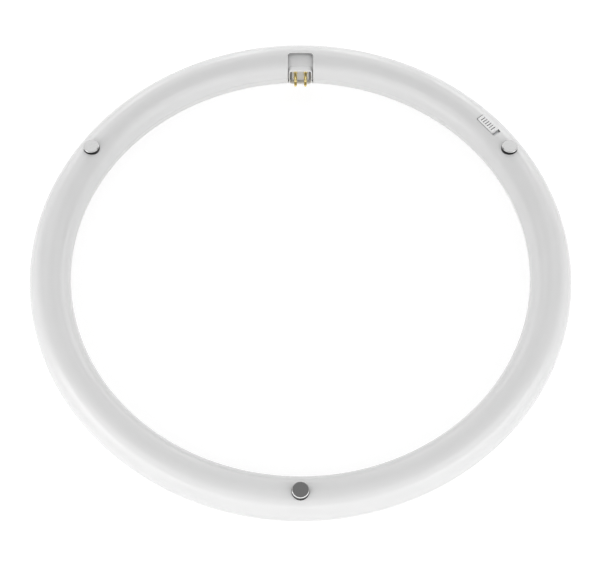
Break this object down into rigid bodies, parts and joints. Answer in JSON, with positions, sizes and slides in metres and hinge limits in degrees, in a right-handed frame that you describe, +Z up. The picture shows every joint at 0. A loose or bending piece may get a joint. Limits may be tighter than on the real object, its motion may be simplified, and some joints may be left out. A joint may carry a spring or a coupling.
{
  "type": "circular led tube",
  "caption": "Round ring-shaped LED lamp tube in white plastic with a swivelling pin plug, a slide switch and disc magnets that hold it in a lamp.",
  "frame": {"origin": "centre of the ring, on the surface that its round lower side rests on", "axes": "+Z up, square to the ring's plane and out of the magnets; the plug is at +Y and its pins point to -Y"},
  "size_m": [0.3999, 0.4, 0.0324],
  "materials": {
    "housing_white": "smooth white moulded plastic, satin gloss",
    "diffuser_opal": "opal white plastic, fine satin",
    "magnet_nickel": "bright nickel plating",
    "plug_white": "white moulded plastic",
    "pin_brass": "turned and polished",
    "strap_brass": "stamped sheet",
    "cable_sheath": "soft white sheath",
    "slider_white": "white moulded plastic, fine grain",
    "switch_steel": "folded sheet",
    "switch_base_brown": "laminated board",
    "driver_board_green": "coated circuit board",
    "fuse_ceramic": "glazed tube",
    "moulding_black": "moulded resin",
    "capacitor_sleeve": "shrink sleeve",
    "capacitor_can": "drawn can",
    "choke_ferrite": "pressed ferrite",
    "led_board_white": "white solder mask",
    "led_phosphor": "phosphor in clear resin",
    "solder_tin": "tinned link"
  },
  "bodies": {
    "lamp_ring": {"back_housing": "housing_white", "front_diffuser": "diffuser_opal", "magnet_front": "magnet_nickel", "magnet_left": "magnet_nickel", "magnet_right": "magnet_nickel", "supply_cable": "cable_sheath", "switch_case": "switch_steel", "switch_base": "switch_base_brown", "switch_terminals": "strap_brass", "driver_board": "driver_board_green", "input_fuse": "fuse_ceramic", "bridge_rectifier": "moulding_black", "bulk_capacitor": "capacitor_sleeve", "filter_choke": "choke_ferrite", "driver_chip": "moulding_black", "output_capacitor": "capacitor_can", "header_spacers": "moulding_black", "header_pins": "strap_brass", "board_links": "solder_tin", "led_board_1": "led_board_white", "led_chips_1": "led_phosphor", "led_board_2": "led_board_white", "led_chips_2": "led_phosphor", "led_board_3": "led_board_white", "led_chips_3": "led_phosphor", "led_board_4": "led_board_white", "led_chips_4": "led_phosphor"},
    "plug": {"plug_drum": "plug_white", "contact_pin_1": "pin_brass", "contact_pin_2": "pin_brass", "contact_pin_3": "pin_brass", "contact_pin_4": "pin_brass", "pin_bridge_left": "strap_brass", "pin_bridge_right": "strap_brass", "plug_leads": "cable_sheath"},
    "slider": {"switch_slider": "slider_white", "switch_contact": "strap_brass"}
  },
  "joints": [
    {"name": "plug_swivel", "type": "hinge", "parent": "lamp_ring", "child": "plug", "pos_m": [0, 0.185, 0.015], "axis": [-1, 0, 0], "range_deg": [0, 45]},
    {"name": "switch_slide", "type": "slide", "parent": "lamp_ring", "child": "slider", "axis": [0.6157, -0.788, 0], "range_m": [0, 0.0018]}
  ]
}
